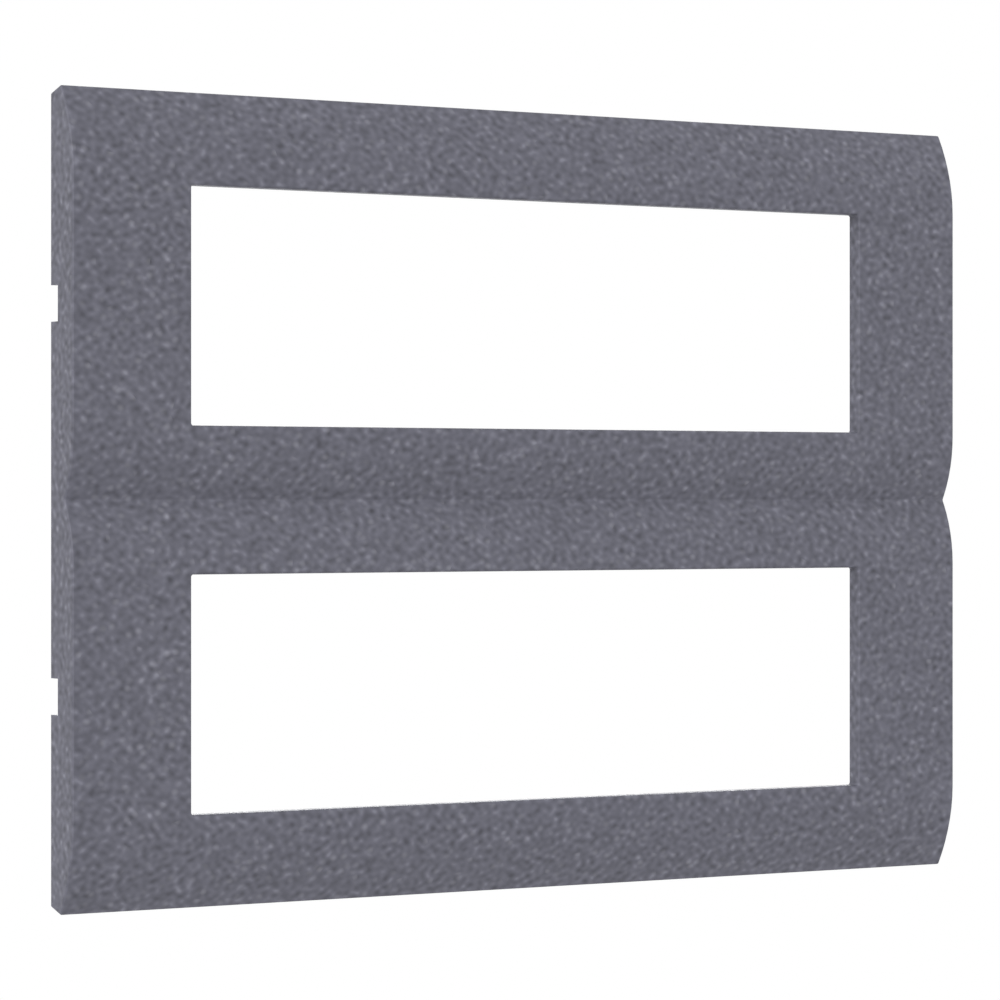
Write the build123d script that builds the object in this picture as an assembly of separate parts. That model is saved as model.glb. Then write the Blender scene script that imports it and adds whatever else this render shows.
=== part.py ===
from build123d import *

import math
import os

# A one-piece moulded cover frame for two rows of wiring modules, all sizes in millimetres.
# X runs along the rows, Z is up, the front faces -Y and the wall is the plane Y = 0.
# The origin is the centre of the wall side. A depth is a distance from the wall towards the front.

# Wiring modules that show through the apertures
module_width = 22.5
module_height = 45.0
modules_per_row = 7
module_clearance = 0.05

# Borders, seen from the front
side_border = 25.2
outer_border = 17.9
row_gap = 28.0

# Depths
plate_depth = 8.6
edge_depth = 3.7
valley_depth = 5.2
jamb_depth = 3.0
support_depth = 3.0

# Shape of the front skin, whose slopes bulge by a share of their drop
crown_share = 0.16
ridge_blend = 2.4
aperture_flat = 0.8
edge_undercut = 1.2
edge_radius = 0.4
valley_radius = 0.6
aperture_edge_radius = 0.6
aperture_corner_radius = 0.5

# Walls
skin = 2.0
wall = 1.8
collar_wall = 1.4
rib_thickness = 1.0

# Snap clips beside the apertures, two on each short side
clip_offset = 4.0
clip_spread = 30.0
clip_width = 6.0
clip_thickness = 1.6
clip_barb = 0.9
clip_tip_width = 0.8
clip_tip_gap = 0.8
clip_catch_depth = 2.2
clip_catch_rise = 0.3

# Stiffening ribs across the borders
side_rib_offset = 8.0

# Lever notches in the end walls, each with a fence behind it
notch_height = 6.8
notch_depth = 2.7
fence_reach = 3.0

# Sizes that follow
aperture_width = modules_per_row * module_width + 2 * module_clearance
aperture_height = module_height + 2 * module_clearance
row_pitch = aperture_height + row_gap
row_centres = (row_pitch / 2, -row_pitch / 2)
plate_width = aperture_width + 2 * side_border
plate_height = row_pitch + aperture_height + 2 * outer_border
aperture_land = ridge_blend + aperture_flat
outer_slope = outer_border - aperture_land
valley_slope = row_gap / 2 - aperture_land
outer_drop = plate_depth - edge_depth
valley_drop = plate_depth - valley_depth
outer_ridge = plate_height / 2 - outer_slope
end_inside = plate_width / 2 - wall
edge_inside = plate_height / 2 - edge_undercut - wall
skin_middle = plate_depth - skin / 2

# How far a cut runs past the faces that it opens, and how closely two places count as one
overshoot = 1.0
tolerance = 1e-6


def blend_radius(drop, run):
    """Radius of the blend that takes ridge_blend of flat before a crowned slope of this drop and run."""
    crown = crown_share * drop
    chord = math.hypot(drop, run)
    crown_radius = chord**2 / (8 * crown) + crown / 2
    turn = math.atan2(drop, run) - 2 * math.atan(2 * crown / chord)
    reach = 2 * crown_radius * math.sin(turn) - ridge_blend
    return ridge_blend * reach / (2 * crown_radius * (1 - math.cos(turn)))


def block(x_span, depth_span, z_span):
    """A box between two X values, two depths and two Z values."""
    size = [high - low for low, high in (x_span, depth_span, z_span)]
    centre = [(low + high) / 2 for low, high in (x_span, depth_span, z_span)]
    return Pos(centre[0], -centre[1], centre[2]) * Box(*size)


def both_ends(shapes):
    """The shapes together with their mirror images at the other end of the plate."""
    return shapes + [mirror(shape, about=Plane.YZ) for shape in shapes]


def front_section():
    """The plate's solid section across the rows: two flat-topped humps with crowned slopes."""
    rear = (0, plate_height / 2 - edge_undercut)
    edge = (-edge_depth, plate_height / 2)
    outer = (-plate_depth, outer_ridge)
    inner = (-plate_depth, valley_slope)
    valley = (-valley_depth, 0)
    outer_arc = SagittaArc(outer, edge, crown_share * outer_drop)
    valley_arc = SagittaArc(valley, inner, crown_share * valley_drop)
    upper = [Line(rear, edge), Line(outer, inner), outer_arc, valley_arc]
    lower = [mirror(line, about=Plane.XZ) for line in upper]
    section = make_face([Line(rear, (0, -rear[1]))] + upper + lower)
    corners = [
        (outer_ridge, blend_radius(outer_drop, outer_slope)),
        (valley_slope, blend_radius(valley_drop, valley_slope)),
        (plate_height / 2, edge_radius),
        (0, valley_radius),
    ]
    for height, radius in corners:
        picked = [v for v in section.vertices() if math.isclose(abs(v.Y), height, abs_tol=tolerance)]
        section = fillet(picked, radius)
    return section


def solid_plate(section):
    """The section drawn out along the rows, with the front edges of both ends rounded."""
    plate = extrude(Plane.YZ * section, plate_width / 2, both=True)
    end_edges = plate.faces().filter_by(Axis.X).edges()
    front_edges = [e for e in end_edges if -e.center().Y > edge_depth / 2 + edge_radius]
    return fillet(front_edges, edge_radius)


def hollow(section):
    """The open space behind the skin: the section set back by the skin, inside straight walls."""
    between_walls = Rectangle(2 * (plate_depth + overshoot), 2 * edge_inside)
    set_back = Pos(skin, 0) * section & between_walls
    return extrude(Plane.YZ * set_back, end_inside, both=True)


def aperture_cut(row_z):
    """The window that the modules of one row look through."""
    window = RectangleRounded(aperture_width, aperture_height, aperture_corner_radius)
    at_front = Plane.XZ * (Pos(0, row_z) * window)
    return extrude(at_front, plate_depth + overshoot, both=True)


def collar(row_z):
    """The raised rim round one aperture, behind the skin."""
    half_width = aperture_width / 2 + collar_wall
    half_height = aperture_height / 2 + collar_wall
    depths = (plate_depth - jamb_depth, skin_middle)
    return block((-half_width, half_width), depths, (row_z - half_height, row_z + half_height))


def rib_outline(start, end, both_tapered):
    """Side view of a rib, as points of place and depth: no taller than the collar where it meets one."""
    low = plate_depth - jamb_depth
    taper = low - support_depth
    outline = [(start, skin_middle), (start, low), (start + taper, support_depth)]
    if both_tapered:
        outline += [(end - taper, support_depth), (end, low)]
    else:
        outline += [(end, support_depth)]
    return outline + [(end, skin_middle)]


def cross_ribs():
    """Upright ribs at the module joints: in both outer borders and across the valley."""
    valley_end = row_gap / 2 - collar_wall
    border_start = plate_height / 2 - outer_border + collar_wall
    across_valley = rib_outline(-valley_end, valley_end, True)
    across_border = rib_outline(border_start, edge_inside, False)
    mirrored_border = [(-height, depth) for height, depth in across_border]
    ribs = []
    for outline in (across_valley, across_border, mirrored_border):
        face = Plane.YZ * Polygon(*[(-depth, height) for height, depth in outline], align=None)
        rib = extrude(face, rib_thickness / 2, both=True)
        for joint in range(1, modules_per_row):
            ribs.append(Pos((joint - modules_per_row / 2) * module_width, 0, 0) * rib)
    return ribs


def side_ribs():
    """Level ribs from the short sides of each collar to the end walls."""
    outline = rib_outline(aperture_width / 2 + collar_wall, end_inside, False)
    face = Polygon(*[(x, -depth) for x, depth in outline], align=None)
    rib = extrude(face, rib_thickness / 2, both=True)
    heights = [z + side for z in row_centres for side in (-side_rib_offset, side_rib_offset)]
    return both_ends([Pos(0, 0, z) * rib for z in heights])


def clips():
    """Snap tongues that reach back from the skin, each with a barb facing the end wall."""
    inner = aperture_width / 2 + clip_offset
    outer = inner + clip_thickness
    profile = [
        (inner, skin_middle),
        (inner, clip_tip_gap),
        (inner + clip_tip_width, clip_tip_gap),
        (outer + clip_barb, clip_catch_depth),
        (outer, clip_catch_depth + clip_catch_rise),
        (outer, skin_middle),
    ]
    face = Polygon(*[(x, -depth) for x, depth in profile], align=None)
    tongue = extrude(face, clip_width / 2, both=True)
    heights = [z + side for z in row_centres for side in (-clip_spread / 2, clip_spread / 2)]
    return both_ends([Pos(0, 0, z) * tongue for z in heights])


def fences():
    """Three-sided walls behind the lever notches, as deep as the plate is hollow."""
    half = notch_height / 2 + rib_thickness
    inner_face = end_inside - fence_reach
    depths = (0, skin_middle)
    walls = []
    for row_z in row_centres:
        walls.append(block((inner_face - rib_thickness, inner_face), depths, (row_z - half, row_z + half)))
        for low in (row_z - half, row_z + half - rib_thickness):
            walls.append(block((inner_face, end_inside), depths, (low, low + rib_thickness)))
    return both_ends(walls)


def notches():
    """Cuts through the rear edge of both end walls, at the middle of each row."""
    x_span = (end_inside - overshoot, plate_width / 2 + overshoot)
    cut = block(x_span, (-overshoot, notch_depth), (-notch_height / 2, notch_height / 2))
    return both_ends([Pos(0, 0, row_z) * cut for row_z in row_centres])


def round_aperture_edges(frame):
    """Round the front edges of both apertures, which are the inner outlines of the front flats."""
    flats = frame.faces().filter_by(Axis.Y).group_by(Axis.Y)[0]
    outlines = [wire for flat in flats for wire in flat.inner_wires()]
    edges = [edge for wire in outlines for edge in wire.edges()]
    return fillet(edges, aperture_edge_radius)


def cover_frame():
    section = front_section()
    plate = solid_plate(section)
    inner = [collar(z) for z in row_centres] + cross_ribs() + side_ribs() + clips() + fences()
    frame = plate - hollow(section)
    frame = frame + [plate & shape for shape in inner]
    frame = frame - [aperture_cut(z) for z in row_centres] - notches()
    return round_aperture_edges(frame)


os.makedirs("parts", exist_ok=True)
export_step(cover_frame(), "parts/cover_frame.step")
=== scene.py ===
import math

import bpy
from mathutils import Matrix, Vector


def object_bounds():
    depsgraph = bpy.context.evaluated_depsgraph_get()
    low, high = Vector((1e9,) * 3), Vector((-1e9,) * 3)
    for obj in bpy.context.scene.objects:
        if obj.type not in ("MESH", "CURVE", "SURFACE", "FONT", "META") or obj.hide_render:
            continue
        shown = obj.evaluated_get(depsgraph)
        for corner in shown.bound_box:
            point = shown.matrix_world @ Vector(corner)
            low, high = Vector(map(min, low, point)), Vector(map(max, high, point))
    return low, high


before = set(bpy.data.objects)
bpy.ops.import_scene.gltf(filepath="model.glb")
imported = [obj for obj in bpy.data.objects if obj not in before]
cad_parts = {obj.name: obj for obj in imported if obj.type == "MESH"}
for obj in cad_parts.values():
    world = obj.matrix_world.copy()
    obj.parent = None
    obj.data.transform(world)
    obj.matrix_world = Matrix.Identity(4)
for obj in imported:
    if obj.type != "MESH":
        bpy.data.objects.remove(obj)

# Looks of a moulded cover frame for two rows of wiring modules, in metres, in the frame of its solids.
# X runs along the rows, Z is up, the front faces -Y and the wall is the plane Y = 0.

cad_low, cad_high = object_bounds()
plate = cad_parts["cover_frame"]

# Camera of the photograph: level, from the left of the plate
camera_place = (-0.4771, -0.7247, 0.0)
camera_yaw = math.radians(33.12)
sensor_width = 36.0
lens_length = 156.94

# Studio light, in units at which a white surface facing a lamp of strength 1 renders white
key_strength = 0.435
key_azimuth = math.radians(-30.0)
key_elevation = math.radians(22.0)
key_spread = math.radians(10.0)
side_strength = 0.29
side_azimuth = math.radians(-90.0)
side_elevation = math.radians(25.0)
side_spread = math.radians(30.0)
back_strength = 0.35
back_azimuth = math.radians(155.0)
back_elevation = math.radians(8.0)
back_spread = math.radians(30.0)
ambient_strength = 0.65
white = (1.0, 1.0, 1.0, 1.0)

# Floor well below the wall-mounted plate: the colour that it shows, and the one that lights the plate
floor_drop = 0.60
floor_size = 4.8
floor_colour = (0.99, 0.99, 0.99, 1.0)
floor_bounce = (0.73, 0.73, 0.73, 1.0)

# Finish of the plate: dark grey plastic, a little glossy
coat_colour = (0.1133, 0.1133, 0.1424)
coat_specular = 0.35
coat_roughness = 0.52

# Paler and darker specks, a little longer along the rows than across, in two fields turned apart
speck_size = 0.00128
speck_reach = 0.00101
speck_depth = 0.89
speck_stretch = 1.2
speck_turns = ((0.6, 0.5, 0.4), (-0.7, 0.9, 1.3))
tetrahedron = ((1, 1, 1), (1, -1, -1), (-1, 1, -1), (-1, -1, 1))

# Metallic flakes: the paleness at which a speck starts to be one, and at which it is one in full
flake_colour = (0.125, 0.125, 0.135)
flake_start = 0.14
flake_full = 0.44
flake_gain = 0.30
flake_roughness = 0.38
flake_metal = 0.2

# Round pale spots among the specks: the radius in units of their spacing, and the share left out
spot_spacing = 0.00155
spot_radius = 0.6
spot_left_out = 0.4
spot_gain = 0.6

# Fine moulded grain
bump_size = 0.0004
bump_detail = 2.0
bump_height = 0.000012

# Shading of the solid's mesh: at full face weight, large flat faces stay flat up to their edges
weld_distance = 1e-6
crease_angle = math.radians(25.0)
full_face_weight = 100


def new_tree(owner):
    """Empties the node tree of a material or world, and returns a maker of nodes and a maker of links."""
    owner.use_nodes = True
    tree = owner.node_tree
    tree.nodes.clear()

    def add(kind, **settings):
        node = tree.nodes.new(kind)
        for name, value in settings.items():
            setattr(node, name, value)
        return node

    return add, tree.links.new


def direction(azimuth, elevation):
    """Unit vector towards a lamp: azimuth 0 is straight in front of the plate, positive to the right."""
    level = math.cos(elevation)
    return Vector((math.sin(azimuth) * level, -math.cos(azimuth) * level, math.sin(elevation)))


def add_sun(name, strength, azimuth, elevation, spread):
    """A far lamp, the softer the wider its spread."""
    data = bpy.data.lights.new(name, "SUN")
    data.energy = math.pi * strength
    data.angle = spread
    lamp = bpy.data.objects.new(name, data)
    lamp.rotation_mode = "QUATERNION"
    lamp.rotation_quaternion = direction(azimuth, elevation).to_track_quat("Z", "Y")
    bpy.context.scene.collection.objects.link(lamp)


def mix_by_sight(add, link, lit, seen):
    """A shader that lights other surfaces as the first one does and is seen, mirrored too, as the second."""
    path = add("ShaderNodeLightPath")
    direct = add("ShaderNodeMath", operation="MAXIMUM")
    any_sight = add("ShaderNodeMath", operation="MAXIMUM")
    mix = add("ShaderNodeMixShader")
    link(path.outputs["Is Camera Ray"], direct.inputs[0])
    link(path.outputs["Is Glossy Ray"], direct.inputs[1])
    link(direct.outputs[0], any_sight.inputs[0])
    link(path.outputs["Is Transmission Ray"], any_sight.inputs[1])
    link(any_sight.outputs[0], mix.inputs["Fac"])
    link(lit.outputs[0], mix.inputs[1])
    link(seen.outputs[0], mix.inputs[2])
    return mix.outputs[0]


def add_world():
    """Even soft light from all round, seen as plain white."""
    world = bpy.data.worlds.new("studio")
    bpy.context.scene.world = world
    add, link = new_tree(world)
    soft_light = add("ShaderNodeBackground")
    soft_light.inputs["Strength"].default_value = ambient_strength
    backdrop = add("ShaderNodeBackground")
    for shader in (soft_light, backdrop):
        shader.inputs["Color"].default_value = white
    output = add("ShaderNodeOutputWorld")
    link(mix_by_sight(add, link, soft_light, backdrop), output.inputs["Surface"])


def add_floor():
    half = floor_size / 2
    level = cad_low.z - floor_drop
    corners = [(-half, -half, level), (half, -half, level), (half, half, level), (-half, half, level)]
    mesh = bpy.data.meshes.new("floor")
    mesh.from_pydata(corners, [], [(0, 1, 2, 3)])
    floor = bpy.data.objects.new("floor", mesh)
    bpy.context.scene.collection.objects.link(floor)
    material = bpy.data.materials.new("pale_floor")
    add, link = new_tree(material)
    bounce = add("ShaderNodeBsdfDiffuse")
    bounce.inputs["Color"].default_value = floor_bounce
    pale = add("ShaderNodeBsdfDiffuse")
    pale.inputs["Color"].default_value = floor_colour
    output = add("ShaderNodeOutputMaterial")
    link(mix_by_sight(add, link, bounce, pale), output.inputs["Surface"])
    mesh.materials.append(material)


def add_camera():
    data = bpy.data.cameras.new("camera")
    data.sensor_width = sensor_width
    data.lens = lens_length
    camera = bpy.data.objects.new("camera", data)
    camera.location = camera_place
    camera.rotation_euler = (math.pi / 2, 0.0, -camera_yaw)
    bpy.context.scene.collection.objects.link(camera)
    bpy.context.scene.camera = camera


def graphite_coat():
    """Dark grey with specks, the palest of them metallic, and with round pale spots, over a fine grain."""
    material = bpy.data.materials.new("graphite_coat")
    add, link = new_tree(material)
    object_place = add("ShaderNodeTexCoord").outputs["Object"]

    def turned(turn):
        node = add("ShaderNodeMapping")
        node.inputs["Scale"].default_value = (1 / speck_stretch, 1.0, 1.0)
        node.inputs["Rotation"].default_value = turn
        link(object_place, node.inputs["Vector"])
        return node.outputs[0]

    def moved(place, offset):
        node = add("ShaderNodeVectorMath", operation="ADD")
        node.inputs[1].default_value = offset
        link(place, node.inputs[0])
        return node.outputs[0]

    def noise(place, size, detail=0.0):
        node = add("ShaderNodeTexNoise")
        node.inputs["Scale"].default_value = 1 / size
        node.inputs["Detail"].default_value = detail
        link(place, node.inputs["Vector"])
        return node.outputs["Fac"]

    def math_node(operation, first, second):
        node = add("ShaderNodeMath", operation=operation)
        for socket, value in zip(node.inputs, (first, second)):
            if isinstance(value, (int, float)):
                socket.default_value = value
            else:
                link(value, socket)
        return node.outputs[0]

    def ramp(value, low, high, low_to, high_to, kind="LINEAR"):
        node = add("ShaderNodeMapRange", interpolation_type=kind)
        link(value, node.inputs["Value"])
        settings = {"From Min": low, "From Max": high, "To Min": low_to, "To Max": high_to}
        for name, setting in settings.items():
            node.inputs[name].default_value = setting
        return node.outputs["Result"]

    def specks(place):
        """Noise less its mean at four points round about, which leaves specks of one size."""
        around = 0.0
        for corner in tetrahedron:
            offset = [speck_reach * part / math.hypot(*corner) for part in corner]
            around = math_node("ADD", around, noise(moved(place, offset), speck_size))
        mean = math_node("DIVIDE", around, len(tetrahedron))
        return math_node("SUBTRACT", noise(place, speck_size), mean)

    def spots(place):
        """One round spot in each cell, of any strength from none to full, or left out."""
        cells = add("ShaderNodeTexVoronoi")
        cells.inputs["Scale"].default_value = 1 / spot_spacing
        link(place, cells.inputs["Vector"])
        lot = add("ShaderNodeSeparateColor")
        link(cells.outputs["Color"], lot.inputs["Color"])
        strength = ramp(lot.outputs[0], spot_left_out, 1.0, 0.0, 1.0)
        round_spot = ramp(cells.outputs["Distance"], spot_radius, 0.0, 0.0, 1.0, "SMOOTHSTEP")
        return math_node("MULTIPLY", round_spot, strength)

    first_place, second_place = [turned(turn) for turn in speck_turns]
    both_fields = math_node("ADD", specks(first_place), specks(second_place))
    wave = math_node("MULTIPLY", both_fields, speck_depth / math.sqrt(len(speck_turns)))
    shine = ramp(wave, flake_start, flake_full, 0.0, 1.0, "SMOOTHSTEP")

    coat = add("ShaderNodeVectorMath", operation="SCALE")
    coat.inputs[0].default_value = coat_colour
    link(math_node("ADD", wave, 1.0), coat.inputs["Scale"])
    flakes = math_node("MULTIPLY", shine, flake_gain)
    pale_spots = math_node("MULTIPLY", spots(first_place), spot_gain)
    colour = add("ShaderNodeVectorMath", operation="MULTIPLY_ADD")
    colour.inputs[0].default_value = flake_colour
    link(math_node("ADD", flakes, pale_spots), colour.inputs[1])
    link(coat.outputs[0], colour.inputs[2])

    bump = add("ShaderNodeBump")
    bump.inputs["Distance"].default_value = bump_height
    link(noise(first_place, bump_size, bump_detail), bump.inputs["Height"])

    surface = add("ShaderNodeBsdfPrincipled")
    surface.inputs["Specular IOR Level"].default_value = coat_specular
    link(colour.outputs[0], surface.inputs["Base Color"])
    link(math_node("MULTIPLY", shine, flake_metal), surface.inputs["Metallic"])
    link(ramp(shine, 0.0, 1.0, coat_roughness, flake_roughness), surface.inputs["Roughness"])
    link(bump.outputs[0], surface.inputs["Normal"])
    output = add("ShaderNodeOutputMaterial")
    link(surface.outputs[0], output.inputs["Surface"])
    return material


def smooth_plate():
    """Join the mesh along its edges, then shade each run of gently turning faces as one surface."""
    weld = plate.modifiers.new("weld", "WELD")
    weld.merge_threshold = weld_distance
    split = plate.modifiers.new("split", "EDGE_SPLIT")
    split.split_angle = crease_angle
    split.use_edge_sharp = False
    normals = plate.modifiers.new("normals", "WEIGHTED_NORMAL")
    normals.weight = full_face_weight


bpy.context.scene.view_settings.view_transform = "Standard"
add_camera()
add_world()
add_sun("key", key_strength, key_azimuth, key_elevation, key_spread)
add_sun("side", side_strength, side_azimuth, side_elevation, side_spread)
add_sun("back", back_strength, back_azimuth, back_elevation, back_spread)
add_floor()
smooth_plate()
plate.material_slots[0].material = graphite_coat()
